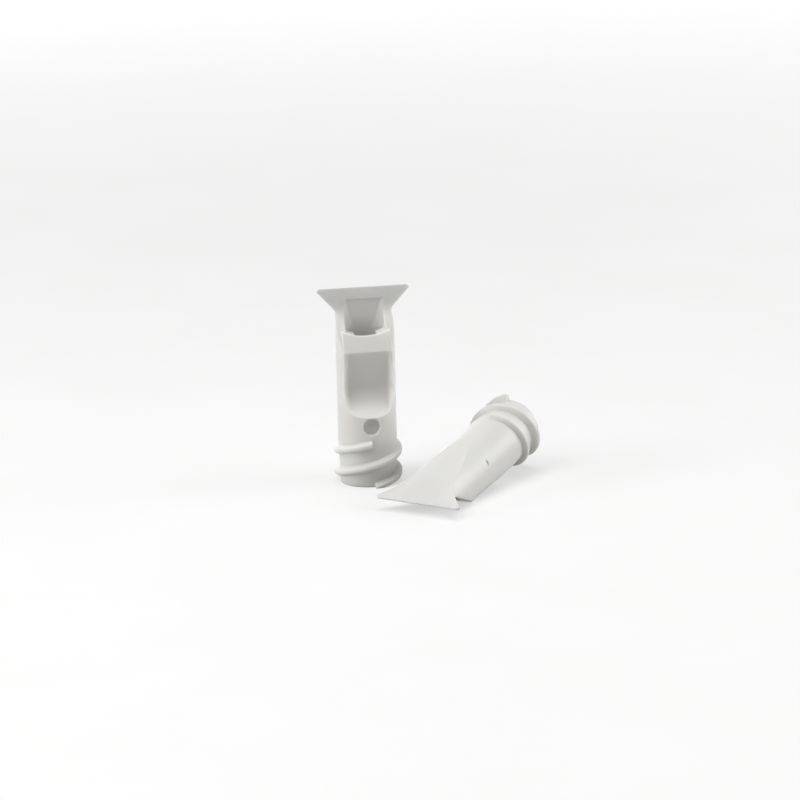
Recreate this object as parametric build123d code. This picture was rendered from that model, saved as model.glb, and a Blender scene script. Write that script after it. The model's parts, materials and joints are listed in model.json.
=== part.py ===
"""A pair of hollow plastic wall anchors, one standing on its mouth and one lying on its front.

Each anchor is one moulding: a tube with a coarse two-start thread round its mouth, a blind round hole
in its front wall, a thumb-shaped scoop above the hole, and a ridge over the scoop. Above the ridge the
front is cut open, so that a screw coming up the tube meets a sloping ramp. The back of the tube is
planed away towards the top and ends as a wide, thin, fan-shaped blade.

Millimetres. +Z is up. The origin is the middle of the standing anchor's mouth, and its front faces -Y.
"""
from build123d import *
import math
import os

# Tube and mouth
BODY_DIAMETER = 12.0
OVERALL_LENGTH = 40.2
WALL_THICKNESS = 1.8
SOCKET_END_BELOW_HOLE = 1.0
MOUTH_DRAFT = 0.35

# Thread round the mouth
THREAD_STARTS = 2
THREAD_LEAD = 9.2
THREAD_HEIGHT = 0.95
THREAD_ROOT_WIDTH = 1.8
THREAD_CREST_WIDTH = 0.75
THREAD_CREST_RADIUS = 0.25
THREAD_FIRST_ANGLE = 4.0
THREAD_SWEEP = 355.0
THREAD_SINK = 0.5

# Blind round hole in the front wall
HOLE_DIAMETER = 3.5
HOLE_DEPTH = 1.1
HOLE_ABOVE_THREAD = 3.63
HOLE_EDGE_RADIUS = 0.1

# Scoop in the front wall
SCOOP_LIP_GAP = 0.2
SCOOP_RAMP_RADIUS = 5.7
SCOOP_DEPTH = 3.89
SCOOP_SIDE_RADIUS = 1.2

# Ridge over the scoop, and the face that slopes back from it
RIDGE_BELOW_SILL = 3.05
RIDGE_DEPTH = 2.64
RIDGE_FACE_TILT = 27.5

# Opening above the ridge
SILL_BELOW_TIP = 9.4
SILL_LAND = 0.42
SILL_RADIUS = 12.3
SILL_EDGE_RADIUS = 0.25
CHEEK_SETBACK = 1.6
CHEEK_TILT = 33.6
CHEEK_CORNER_RADIUS = 4.0
BLADE_LEAN = 2.3
CHAMBER_WIDTH = 8.2
CHAMBER_BACK = 2.9
CHAMBER_BACK_RADIUS = 6.75
RAMP_FOOT_SETBACK = 2.8
RAMP_TOP_BELOW_TIP = 2.5
RAMP_TOP_STEP = 0.35

# Passage between the socket and the opening
PASSAGE_WIDTH = 4.6
PASSAGE_STEP_SETBACK = 1.6

# Planed back and fan-shaped blade
TAPER_RADIUS = 48.0
TAPER_ANGLE = 12.7
TIP_SETBACK = 1.84
BLADE_WIDTH = 19.0
BLADE_SIDE_ANGLE = 41.8
BLADE_NECK_WIDTH = 9.1
BLADE_NECK_RADIUS = 7.8
BLADE_CORNER_CUT = 0.5
BEVEL_HEIGHT = 1.2
EDGE_THICKNESS = 0.32

# Where the second anchor lies
LYING_OFFSET_X = 31.03
LYING_OFFSET_Y = 2.66
LYING_HEADING = -40.5

BODY_RADIUS = BODY_DIAMETER / 2
SOCKET_RADIUS = BODY_RADIUS - WALL_THICKNESS
RIDGE_FORWARD = BODY_RADIUS - RIDGE_DEPTH
HOLE_RADIUS = HOLE_DIAMETER / 2
THREAD_RISE = THREAD_LEAD * THREAD_SWEEP / 360
HOLE_HEIGHT = THREAD_RISE + HOLE_ABOVE_THREAD
SCOOP_LIP_HEIGHT = HOLE_HEIGHT + HOLE_RADIUS + SCOOP_LIP_GAP
SCOOP_HALF_WIDTH = math.sqrt(BODY_RADIUS**2 - RIDGE_FORWARD**2)
SOCKET_DEPTH = HOLE_HEIGHT - HOLE_RADIUS - SOCKET_END_BELOW_HOLE
SILL_HEIGHT = OVERALL_LENGTH - SILL_BELOW_TIP
RIDGE_HEIGHT = SILL_HEIGHT - RIDGE_BELOW_SILL
RAMP_TOP_HEIGHT = OVERALL_LENGTH - RAMP_TOP_BELOW_TIP
CHEEK_TOP_HEIGHT = RIDGE_HEIGHT + (RIDGE_FORWARD + CHEEK_SETBACK) / math.tan(math.radians(CHEEK_TILT))
CHEEK_CORNER_REACH = CHEEK_CORNER_RADIUS * math.tan(math.radians(CHEEK_TILT / 2))
BLADE_FOOT_HEIGHT = CHEEK_TOP_HEIGHT + CHEEK_CORNER_REACH
CLEAR = 2.0
STANDING = (Align.CENTER, Align.CENTER, Align.MIN)
FRONT_CLEAR = -BODY_RADIUS - CLEAR
TOP_CLEAR = OVERALL_LENGTH + CLEAR
TOUCH = 0.001


def tangent(degrees):
    return math.tan(math.radians(degrees))


def back_at(height):
    """Y of the planed back at a height on its straight part, which ends at the tip."""
    return TIP_SETBACK + (OVERALL_LENGTH - height) * tangent(TAPER_ANGLE)


def blade_front_at(height):
    """Y of the front of the blade at a height above the cheeks."""
    return CHEEK_SETBACK - (height - BLADE_FOOT_HEIGHT) * tangent(BLADE_LEAN)


def ridge_face_at(height):
    """Y of the ridge's sloping face at a height."""
    return (height - RIDGE_HEIGHT) * tangent(RIDGE_FACE_TILT) - RIDGE_FORWARD


def ramp_at(height):
    """Y of the ramp at a height; its top is sunk a small step into the front of the blade."""
    top = blade_front_at(RAMP_TOP_HEIGHT) + RAMP_TOP_STEP
    slope = (RAMP_FOOT_SETBACK - top) / (RAMP_TOP_HEIGHT - SILL_HEIGHT)
    return RAMP_FOOT_SETBACK - (height - SILL_HEIGHT) * slope


def across(edges, half_width):
    """A solid with a Y-Z outline, drawn as (y, z), that reaches half_width to each side in X."""
    return extrude(make_face(Plane.YZ * Curve(edges)), half_width, both=True)


def sill_hollow():
    """The dip of the sill: a round bar along Y, so that the sill is lowest in the middle."""
    bar = Rotation(90, 0, 0) * Cylinder(SILL_RADIUS, 2 * (BODY_DIAMETER + CLEAR))
    return Pos(0, 0, SILL_HEIGHT + SILL_RADIUS) * bar


def fan():
    """The blade's outline seen from the front: cut corners, straight sides, and necks into the tube."""
    side = math.radians(BLADE_SIDE_ANGLE)
    tip_x = BLADE_WIDTH / 2
    tip_z = OVERALL_LENGTH - BLADE_CORNER_CUT
    top_x = tip_x - BLADE_CORNER_CUT * math.tan(side)
    neck_x = BLADE_NECK_WIDTH / 2
    bend_x = neck_x + BLADE_NECK_RADIUS * (1 - math.cos(side))
    bend_z = tip_z - (tip_x - bend_x) / math.tan(side)
    neck_z = bend_z - BLADE_NECK_RADIUS * math.sin(side)
    edges = [Line((-neck_x, neck_z), (neck_x, neck_z))]
    edges.append(Line((-top_x, OVERALL_LENGTH), (top_x, OVERALL_LENGTH)))
    for s in (-1, 1):
        edges.append(Line((s * top_x, OVERALL_LENGTH), (s * tip_x, tip_z)))
        edges.append(Line((s * tip_x, tip_z), (s * bend_x, bend_z)))
        edges.append(TangentArc((s * neck_x, neck_z), (s * bend_x, bend_z), tangent=(0, 1)))
    return extrude(make_face(Plane.XZ * Curve(edges)), BODY_RADIUS, both=True)


def behind_planed_back():
    """What is planed off the back: a long curve out of the tube, then a straight slope to the tip."""
    turn = math.radians(TAPER_ANGLE)
    bend_y = BODY_RADIUS - TAPER_RADIUS * (1 - math.cos(turn))
    bend_z = OVERALL_LENGTH - (bend_y - TIP_SETBACK) / math.tan(turn)
    start_z = bend_z - TAPER_RADIUS * math.sin(turn)
    behind = BODY_RADIUS + CLEAR
    edges = [
        TangentArc((BODY_RADIUS, start_z), (bend_y, bend_z), tangent=(0, 1)),
        Polyline(
            (bend_y, bend_z),
            (back_at(TOP_CLEAR), TOP_CLEAR),
            (behind, TOP_CLEAR),
            (behind, start_z),
            (BODY_RADIUS, start_z),
        ),
    ]
    return across(edges, BLADE_WIDTH)


def ridge_block():
    """What is left standing between the cheeks: it has the ridge's sloping face and the dipped sill."""
    top = SILL_HEIGHT + CLEAR
    outline = Polyline(
        (-RIDGE_FORWARD, RIDGE_HEIGHT),
        (ridge_face_at(top), top),
        (BODY_RADIUS, top),
        (BODY_RADIUS, RIDGE_HEIGHT),
        close=True,
    )
    return across([outline], SCOOP_HALF_WIDTH) - sill_hollow()


def before_cheeks():
    """What is cut off in front: the sloping cheeks, a round corner, the blade and the tip's bevel."""
    tilt = math.radians(CHEEK_TILT)
    bend_y = CHEEK_SETBACK - CHEEK_CORNER_REACH * math.sin(tilt)
    bend_z = CHEEK_TOP_HEIGHT - CHEEK_CORNER_REACH * math.cos(tilt)
    bevel_z = OVERALL_LENGTH - BEVEL_HEIGHT
    edge_y = TIP_SETBACK - EDGE_THICKNESS
    edges = [
        TangentArc((CHEEK_SETBACK, BLADE_FOOT_HEIGHT), (bend_y, bend_z), tangent=(0, -1)),
        Polyline(
            (CHEEK_SETBACK, BLADE_FOOT_HEIGHT),
            (blade_front_at(bevel_z), bevel_z),
            (edge_y, OVERALL_LENGTH),
            (edge_y, TOP_CLEAR),
            (FRONT_CLEAR, TOP_CLEAR),
            (FRONT_CLEAR, RIDGE_HEIGHT),
            (-RIDGE_FORWARD, RIDGE_HEIGHT),
            (bend_y, bend_z),
        ),
    ]
    return across(edges, BLADE_WIDTH) - ridge_block()


def chamber_back():
    """The round bar whose far side is the chamber's back wall."""
    return Pos(0, CHAMBER_BACK - CHAMBER_BACK_RADIUS, 0) * upright(CHAMBER_BACK_RADIUS, 0, TOP_CLEAR)


def upright(radius, bottom, top):
    """A round bar along Z between two heights."""
    return Pos(0, 0, bottom) * Cylinder(radius, top - bottom, align=STANDING)


def chamber():
    """The hollow between the cheeks: flat sides, a round back, and the ramp under its flat top."""
    outline = Polyline(
        (FRONT_CLEAR, SILL_HEIGHT),
        (RAMP_FOOT_SETBACK, SILL_HEIGHT),
        (ramp_at(RAMP_TOP_HEIGHT), RAMP_TOP_HEIGHT),
        (FRONT_CLEAR, RAMP_TOP_HEIGHT),
        close=True,
    )
    return across([outline], CHAMBER_WIDTH / 2) & chamber_back() & sill_hollow()


def shaft(front, half_width):
    """A straight way up through the tube that runs into the chamber and stops at its ramp."""
    top = SILL_HEIGHT + CLEAR
    outline = Polyline(
        (front, SOCKET_DEPTH),
        (front, top),
        (ramp_at(top), top),
        (RAMP_FOOT_SETBACK, SILL_HEIGHT),
        (RAMP_FOOT_SETBACK, SOCKET_DEPTH),
        close=True,
    )
    return across([outline], half_width) & chamber_back()


def scoop():
    """The scoop's cutter: a round ramp in from the lip, then a floor that leans out to the ridge."""
    lip = Vector(-BODY_RADIUS, SCOOP_LIP_HEIGHT)
    ridge = Vector(-RIDGE_FORWARD, RIDGE_HEIGHT)
    # the ramp's circle goes through the lip, and the floor is its tangent from the ridge
    past_skin = SCOOP_RAMP_RADIUS - SCOOP_DEPTH
    centre = lip + Vector(-past_skin, math.sqrt(SCOOP_RAMP_RADIUS**2 - past_skin**2))
    sight = centre - ridge
    turn = math.degrees(math.asin(SCOOP_RAMP_RADIUS / sight.length))
    down = sight.rotate(Axis.Z, turn).normalized()
    foot = ridge + down * math.sqrt(sight.length**2 - SCOOP_RAMP_RADIUS**2)
    edges = [
        Line(ridge, foot),
        TangentArc(foot, lip, tangent=down),
        Polyline(lip, (FRONT_CLEAR, lip.Y), (FRONT_CLEAR, ridge.Y), ridge),
    ]
    cutter = across(edges, SCOOP_HALF_WIDTH)
    sides = [e for e in cutter.edges() if abs(abs(e.center().X) - SCOOP_HALF_WIDTH) < TOUCH]
    inner = [e for e in sides if e.center().Y > TOUCH - BODY_RADIUS and e.center().Z < RIDGE_HEIGHT - TOUCH]
    above_foot = Polyline(
        (-RIDGE_FORWARD, foot.Y),
        (-RIDGE_FORWARD, RIDGE_HEIGHT),
        (FRONT_CLEAR, RIDGE_HEIGHT),
        (FRONT_CLEAR, foot.Y),
        close=True,
    )
    return fillet(inner, SCOOP_SIDE_RADIUS) + across([above_foot], SCOOP_HALF_WIDTH)


def thread(first_angle):
    """One start of the thread: a ridge that winds up the tube from its mouth and ends square."""
    path = Helix(pitch=THREAD_LEAD, height=THREAD_RISE, radius=BODY_RADIUS)
    inner = BODY_RADIUS - THREAD_SINK
    outer = BODY_RADIUS + THREAD_HEIGHT
    flank = (THREAD_ROOT_WIDTH - THREAD_CREST_WIDTH) / 2 / THREAD_HEIGHT
    deep = THREAD_ROOT_WIDTH / 2 + THREAD_SINK * flank
    crest = THREAD_CREST_WIDTH / 2
    outline = Polyline((inner, -deep), (outer, -crest), (outer, crest), (inner, deep), close=True)
    profile = make_face(outline)
    profile = fillet(profile.vertices().group_by(Axis.X)[-1], THREAD_CREST_RADIUS)
    ridge = sweep(Plane.XZ * profile, path=path, is_frenet=True)
    return Rotation(0, 0, first_angle - 90) * ridge


def drafted_tube():
    """The tube's outside, which narrows a little from the end of the thread down to its mouth."""
    foot = Cone(BODY_RADIUS - MOUTH_DRAFT, BODY_RADIUS, THREAD_RISE, align=STANDING)
    return foot + upright(BODY_RADIUS, THREAD_RISE, OVERALL_LENGTH)


def round_hole(body):
    """Drills the blind hole in the front wall, and eases its outer edge."""
    drill = upright(HOLE_RADIUS, BODY_RADIUS - HOLE_DEPTH, BODY_RADIUS + CLEAR)
    body -= Pos(0, 0, HOLE_HEIGHT) * Rotation(90, 0, 0) * drill
    rim = body.edges().sort_by_distance((0, -BODY_RADIUS, HOLE_HEIGHT + HOLE_RADIUS))[0]
    return fillet(rim, HOLE_EDGE_RADIUS)


def eased_sill(body):
    """The body with the front edge of its sill rounded off between the cheeks."""
    front = body.edges().sort_by_distance((0, ridge_face_at(SILL_HEIGHT), SILL_HEIGHT))[0]
    return fillet(front, SILL_EDGE_RADIUS)


def anchor():
    """One anchor, standing on its mouth with its front towards -Y."""
    body = drafted_tube() - upright(SOCKET_RADIUS, 0, SOCKET_DEPTH)
    body = round_hole(body) + fan()
    body -= behind_planed_back()
    body -= before_cheeks()
    body -= chamber()
    body -= shaft(ridge_face_at(SILL_HEIGHT) + SILL_LAND, PASSAGE_WIDTH / 2)
    body -= shaft(PASSAGE_STEP_SETBACK, CHAMBER_WIDTH / 2)
    body -= scoop()
    body = eased_sill(body)
    above_ground = upright(BODY_DIAMETER, 0, OVERALL_LENGTH)
    for start in range(THREAD_STARTS):
        body += thread(THREAD_FIRST_ANGLE + 360 * start / THREAD_STARTS) & above_ground
    return body


def lying(shape):
    """The same anchor laid on its front, where its scoop's lip and its ridge touch the ground."""
    lean = math.degrees(math.atan2(BODY_RADIUS - RIDGE_FORWARD, RIDGE_HEIGHT - SCOOP_LIP_HEIGHT))
    laid = Rotation(0, 0, LYING_HEADING) * Rotation(90 + lean, 0, 0) * shape
    return Pos(LYING_OFFSET_X, LYING_OFFSET_Y, -laid.bounding_box().min.Z) * laid


os.makedirs("parts", exist_ok=True)
standing_anchor = anchor()
export_step(standing_anchor, "parts/standing_anchor.step")
export_step(lying(standing_anchor), "parts/lying_anchor.step")
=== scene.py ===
"""Two white plastic wall anchors on a pale floor, lit as in a plain studio.

Metres and degrees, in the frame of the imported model: +Z is up, the standing anchor's mouth is at the
origin, and its front faces -Y. An azimuth is 0 at the front and 90 at the right. Both anchors are CAD
nodes and keep their shape. The script gives them a moulded plastic material, and adds the floor, the
lamps and the camera.
"""

import json
import math
from collections import namedtuple

import bpy
from mathutils import Matrix, Vector

MM = 0.001
UNIT_RANGE = (0, 1)

# Each anchor's node, and what the names of its mounts start with
ANCHORS = {"standing_anchor": "", "lying_anchor": "lying_"}

# Camera: a long lens, a little above and to the left of the standing anchor's front. AIM_RIGHT and
# AIM_UP are how far it is moved sideways and up, so that the pair is framed as in the photograph. Its
# focal length is in millimetres, as Blender takes it
CAMERA_AZIMUTH = -9.36
CAMERA_ELEVATION = 15.07
CAMERA_ROLL = -1.343
CAMERA_DISTANCE = 819.2 * MM
CAMERA_FOCAL_LENGTH = 180.0
CAMERA_NEAREST = 10 * MM
AIM_RIGHT = 6.41 * MM
AIM_UP = 16.3 * MM

# Lamps: round soft boxes that face the origin. The back one is further off and larger, so that its
# light ends on the floor well outside the picture
Lamp = namedtuple("Lamp", "azimuth elevation distance width watts")
LAMP_DISTANCE = 0.60
SIDE_WIDTH = 0.36
LAMPS = {
    "top": Lamp(azimuth=0, elevation=90, distance=LAMP_DISTANCE, width=0.50, watts=1.45),
    "left": Lamp(azimuth=-85, elevation=15, distance=LAMP_DISTANCE, width=SIDE_WIDTH, watts=1.7),
    "left_high": Lamp(azimuth=-60, elevation=50, distance=LAMP_DISTANCE, width=SIDE_WIDTH, watts=1.25),
    "right": Lamp(azimuth=85, elevation=15, distance=LAMP_DISTANCE, width=SIDE_WIDTH, watts=1.7),
    "right_front": Lamp(azimuth=55, elevation=20, distance=LAMP_DISTANCE, width=SIDE_WIDTH, watts=0.46),
    "back": Lamp(azimuth=180, elevation=10, distance=2 * LAMP_DISTANCE, width=0.80, watts=1.2),
}

# Surround: its strength as light on the anchors, and as what the camera sees
AMBIENT = 0.08
SURROUND_SEEN = 1.0

# Noise patterns, with about as many patches in a metre as their scale. A noise rarely comes near 0 or 1,
# so a range picks the part of it that counts
Noise = namedtuple("Noise", "scale detail roughness")
NOISE_RANGE = (0.3, 0.7)
CLOUDS = Noise(scale=160, detail=3, roughness=0.55)
CLOUD_RANGE = (0.35, 0.65)
WAVES = Noise(scale=420, detail=2, roughness=0.5)
GRAIN = Noise(scale=5200, detail=3, roughness=0.6)
TORN_EDGE = Noise(scale=2600, detail=2, roughness=0.5)
FLOOR_PATCHES = Noise(scale=30, detail=3, roughness=0.5)

# Relief that is drawn by shading, as a strength from 0 to 1 and a depth
Relief = namedtuple("Relief", "strength depth")
WAVE_RELIEF = Relief(strength=0.25, depth=0.05 * MM)
GRAIN_RELIEF = Relief(strength=0.3, depth=0.01 * MM)
GATE_PIT = Relief(strength=0.8, depth=0.15 * MM)

# Moulded plastic. Light that enters it scatters over SCATTER_DEPTH, a little further in red than in blue
PLASTIC = (0.76, 0.757, 0.742)
PLASTIC_WARM = (0.76, 0.748, 0.715)
REFRACTIVE_INDEX = 1.5
ROUGHNESS_RANGE = (0.34, 0.46)
SCATTER_SHARE = 0.8
SCATTER_DEPTH = 2.0 * MM
SCATTER_TINT = (1.0, 0.96, 0.90)
EDGE_RADIUS = 0.25 * MM
EDGE_SAMPLES = 8

# Gate mark: the small torn spot where the plastic entered the mould, on the tube's right side. Its
# reach is outwards, round the tube and along it. GATE_FADE is where it starts and stops fading, as
# reaches from its middle plus the torn edge's noise
GATE_COLOUR = (0.32, 0.29, 0.24)
GATE_TURN = 21.5
GATE_OUT = 6.0 * MM
GATE_UP = 20.95 * MM
GATE_REACH = (0.9 * MM, 0.85 * MM, 0.5 * MM)
GATE_FADE = (0.7, 1.4)

# Floor: its paint, and how much whiter it looks to the camera and in reflections. FLOOR_LIFT goes from
# its first value to its second between the two distances of FLOOR_REACH
FLOOR_HALF_WIDTH = 3.0
FLOOR_PAINT = (0.50, 0.50, 0.50)
FLOOR_PAINT_WARM = (0.48, 0.48, 0.475)
FLOOR_REACH = (0.10, 0.9)
FLOOR_LIFT = (0.5, 1.0)


class Nodes:
    """A short way to add and join the nodes of a material or of the world."""

    def __init__(self, tree):
        self.tree = tree
        tree.nodes.clear()

    def add(self, kind, **settings):
        """A new node, with its settings other than sockets."""
        node = self.tree.nodes.new(kind)
        for name, value in settings.items():
            setattr(node, name, value)
        return node

    def join(self, source, target):
        """A link from an output to an input."""
        self.tree.links.new(source, target)

    def show(self, shader, kind="ShaderNodeOutputMaterial"):
        """Makes a shader the look of the material, or of the world."""
        self.join(shader, self.add(kind).inputs["Surface"])

    def place(self):
        """Each point's place, measured from its object's own origin."""
        return self.add("ShaderNodeTexCoord").outputs["Object"]

    def length(self, vector):
        """The length of a vector."""
        node = self.add("ShaderNodeVectorMath", operation="LENGTH")
        self.join(vector, node.inputs[0])
        return node.outputs["Value"]

    def calculate(self, operation, first, second):
        """The sum, the product or the larger of two outputs."""
        node = self.add("ShaderNodeMath", operation=operation)
        self.join(first, node.inputs[0])
        self.join(second, node.inputs[1])
        return node.outputs[0]

    def noise(self, where, pattern):
        """The value of a noise pattern at each point."""
        node = self.add("ShaderNodeTexNoise")
        node.inputs["Scale"].default_value = pattern.scale
        node.inputs["Detail"].default_value = pattern.detail
        node.inputs["Roughness"].default_value = pattern.roughness
        self.join(where, node.inputs["Vector"])
        return node.outputs["Fac"]

    def remap(self, value, source, target, smooth=False):
        """A value taken from one range to another, and held at the new one's ends."""
        node = self.add("ShaderNodeMapRange")
        if smooth:
            node.interpolation_type = "SMOOTHSTEP"
        for name, number in zip(("From Min", "From Max", "To Min", "To Max"), (*source, *target)):
            node.inputs[name].default_value = number
        self.join(value, node.inputs["Value"])
        return node.outputs["Result"]

    def blend(self, factor, first, second):
        """The first colour at factor 0 and the second at 1. Each is a colour or an output."""
        node = self.add("ShaderNodeMix", data_type="RGBA")
        sockets = [socket for socket in node.inputs if socket.type == "RGBA"]
        for socket, colour in zip(sockets, (first, second)):
            if isinstance(colour, tuple):
                socket.default_value = (*colour, 1)
            else:
                self.join(colour, socket)
        self.join(factor, node.inputs[0])
        return next(socket for socket in node.outputs if socket.type == "RGBA")

    def emboss(self, height, normal, relief, invert=False):
        """A normal with the relief of a height pattern added to it."""
        node = self.add("ShaderNodeBump", invert=invert)
        node.inputs["Strength"].default_value = relief.strength
        node.inputs["Distance"].default_value = relief.depth
        self.join(height, node.inputs["Height"])
        self.join(normal, node.inputs["Normal"])
        return node.outputs["Normal"]


def polar(azimuth, elevation, distance):
    """A point round the origin."""
    a = math.radians(azimuth)
    e = math.radians(elevation)
    return Vector((math.sin(a) * math.cos(e), -math.cos(a) * math.cos(e), math.sin(e))) * distance


def axes(x, y, z):
    """The turn that takes X, Y and Z to these three directions."""
    return Matrix((x, y, z)).transposed().to_4x4()


def new_material(name):
    """An empty material, and its nodes."""
    material = bpy.data.materials.new(name)
    material.use_nodes = True
    return material, Nodes(material.node_tree)


def gate_place(mounts, prefix):
    """The gate mark's place on an anchor, with X outwards, Y round the tube and Z along it."""
    socket = mounts[prefix + "socket"]
    up = -Vector(socket["axis"])
    back = -Vector(mounts[prefix + "cross_hole"]["axis"])
    right = back.cross(up)
    turn = Matrix.Rotation(math.radians(GATE_TURN), 4, "Z")
    out_and_up = Matrix.Translation((GATE_OUT, 0, GATE_UP))
    return Matrix.Translation(socket["pos_m"]) @ axes(right, back, up) @ turn @ out_and_up


def gate_mark(n, where, place):
    """1 in the middle of the gate mark and 0 outside it, with a ragged edge."""
    local = n.add("ShaderNodeMapping", vector_type="TEXTURE")
    local.inputs["Location"].default_value = place.to_translation()
    local.inputs["Rotation"].default_value = place.to_euler()
    local.inputs["Scale"].default_value = GATE_REACH
    n.join(where, local.inputs["Vector"])
    ragged = n.calculate("ADD", n.length(local.outputs["Vector"]), n.noise(where, TORN_EDGE))
    return n.remap(ragged, GATE_FADE, (1, 0), smooth=True)


def plastic_colour(n, where, mark):
    """White with faint warmer clouds, and the gate mark."""
    warm = n.remap(n.noise(where, CLOUDS), CLOUD_RANGE, UNIT_RANGE, smooth=True)
    return n.blend(mark, n.blend(warm, PLASTIC, PLASTIC_WARM), GATE_COLOUR)


def plastic_normal(n, where, waves, mark):
    """Soft edges, with shallow waves, a fine grain and the pit of the gate mark."""
    soft_edge = n.add("ShaderNodeBevel", samples=EDGE_SAMPLES)
    soft_edge.inputs["Radius"].default_value = EDGE_RADIUS
    waved = n.emboss(waves, soft_edge.outputs["Normal"], WAVE_RELIEF)
    grained = n.emboss(n.noise(where, GRAIN), waved, GRAIN_RELIEF)
    return n.emboss(mark, grained, GATE_PIT, invert=True)


def moulded_plastic(name, gate):
    """White nylon, a little translucent, with a satin gloss that follows its shallow waves."""
    material, n = new_material(name)
    where = n.place()
    waves = n.noise(where, WAVES)
    mark = gate_mark(n, where, gate)

    shader = n.add("ShaderNodeBsdfPrincipled")
    shader.inputs["IOR"].default_value = REFRACTIVE_INDEX
    shader.inputs["Subsurface Weight"].default_value = SCATTER_SHARE
    shader.inputs["Subsurface Scale"].default_value = SCATTER_DEPTH
    shader.inputs["Subsurface Radius"].default_value = SCATTER_TINT
    n.join(plastic_colour(n, where, mark), shader.inputs["Base Color"])
    n.join(n.remap(waves, NOISE_RANGE, ROUGHNESS_RANGE), shader.inputs["Roughness"])
    n.join(plastic_normal(n, where, waves, mark), shader.inputs["Normal"])
    n.show(shader.outputs["BSDF"])
    return material


def seen_directly(n):
    """1 for what the camera sees, straight, in a reflection or through glass, and 0 for bounced light."""
    path = n.add("ShaderNodeLightPath")
    seen = n.calculate("MAXIMUM", path.outputs["Is Camera Ray"], path.outputs["Is Glossy Ray"])
    return n.calculate("MAXIMUM", seen, path.outputs["Is Transmission Ray"])


def floor_paint(n, where):
    """Pale grey with faint patches."""
    patches = n.remap(n.noise(where, FLOOR_PATCHES), NOISE_RANGE, UNIT_RANGE)
    paint = n.add("ShaderNodeBsdfDiffuse")
    n.join(n.blend(patches, FLOOR_PAINT, FLOOR_PAINT_WARM), paint.inputs["Color"])
    return paint.outputs["BSDF"]


def floor_lift(n, where):
    """What whitens the floor that is seen and lights nothing. It grows away from the anchors."""
    lift = n.remap(n.length(where), FLOOR_REACH, FLOOR_LIFT, smooth=True)
    glow = n.add("ShaderNodeEmission")
    n.join(n.calculate("MULTIPLY", seen_directly(n), lift), glow.inputs["Strength"])
    return glow.outputs["Emission"]


def studio_floor():
    """A pale floor that looks white to the camera and keeps the anchors' soft shadow."""
    material, n = new_material("pale_floor")
    where = n.place()
    both = n.add("ShaderNodeAddShader")
    n.join(floor_paint(n, where), both.inputs[0])
    n.join(floor_lift(n, where), both.inputs[1])
    n.show(both.outputs["Shader"])

    bpy.ops.mesh.primitive_plane_add(size=2 * FLOOR_HALF_WIDTH)
    floor = bpy.context.object
    floor.name = "floor"
    floor.data.materials.append(material)


def studio_world():
    """An even surround that gives little light and looks pale where it is seen."""
    world = bpy.data.worlds.new("studio")
    bpy.context.scene.world = world
    world.use_nodes = True
    n = Nodes(world.node_tree)
    mix = n.add("ShaderNodeMixShader")
    n.join(seen_directly(n), mix.inputs[0])
    for strength, socket in zip((AMBIENT, SURROUND_SEEN), mix.inputs[1:]):
        surround = n.add("ShaderNodeBackground")
        surround.inputs["Strength"].default_value = strength
        n.join(surround.outputs[0], socket)
    n.show(mix.outputs[0], "ShaderNodeOutputWorld")


def studio_lamp(name, settings):
    """A round soft box that faces the origin."""
    data = bpy.data.lights.new(name, "AREA")
    data.shape = "DISK"
    data.size = settings.width
    data.energy = settings.watts
    box = bpy.data.objects.new(name, data)
    bpy.context.collection.objects.link(box)
    box.location = polar(settings.azimuth, settings.elevation, settings.distance)
    box.rotation_euler = box.location.to_track_quat("Z", "Y").to_euler()


def camera_axes():
    """The directions to the camera's right, above it and ahead of it."""
    azimuth = math.radians(CAMERA_AZIMUTH)
    ahead = -polar(CAMERA_AZIMUTH, CAMERA_ELEVATION, 1)
    level = Vector((math.cos(azimuth), math.sin(azimuth), 0))
    right = Matrix.Rotation(-math.radians(CAMERA_ROLL), 3, ahead) @ level
    return right, right.cross(ahead), ahead


def studio_camera():
    """The photograph's view of the pair."""
    right, up, ahead = camera_axes()
    data = bpy.data.cameras.new("camera")
    data.lens = CAMERA_FOCAL_LENGTH
    data.clip_start = CAMERA_NEAREST
    camera = bpy.data.objects.new("camera", data)
    bpy.context.collection.objects.link(camera)
    place = right * AIM_RIGHT + up * AIM_UP - ahead * CAMERA_DISTANCE
    camera.matrix_world = Matrix.Translation(place) @ axes(right, up, -ahead)
    bpy.context.scene.camera = camera


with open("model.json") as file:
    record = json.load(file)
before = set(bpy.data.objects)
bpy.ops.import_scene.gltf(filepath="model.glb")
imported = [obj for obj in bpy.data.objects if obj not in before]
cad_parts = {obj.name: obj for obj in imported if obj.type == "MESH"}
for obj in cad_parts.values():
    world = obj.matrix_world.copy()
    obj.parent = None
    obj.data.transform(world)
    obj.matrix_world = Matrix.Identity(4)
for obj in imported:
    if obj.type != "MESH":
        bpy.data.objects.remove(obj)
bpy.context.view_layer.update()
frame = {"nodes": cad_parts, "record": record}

mounts = {mount["name"]: mount for mount in frame["record"]["mounts"]}
for name, prefix in ANCHORS.items():
    plastic = moulded_plastic(name + "_plastic", gate_place(mounts, prefix))
    for slot in frame["nodes"][name].material_slots:
        slot.material = plastic

studio_floor()
studio_world()
for name, settings in LAMPS.items():
    studio_lamp(name, settings)
studio_camera()
bpy.context.scene.view_settings.view_transform = "Standard"
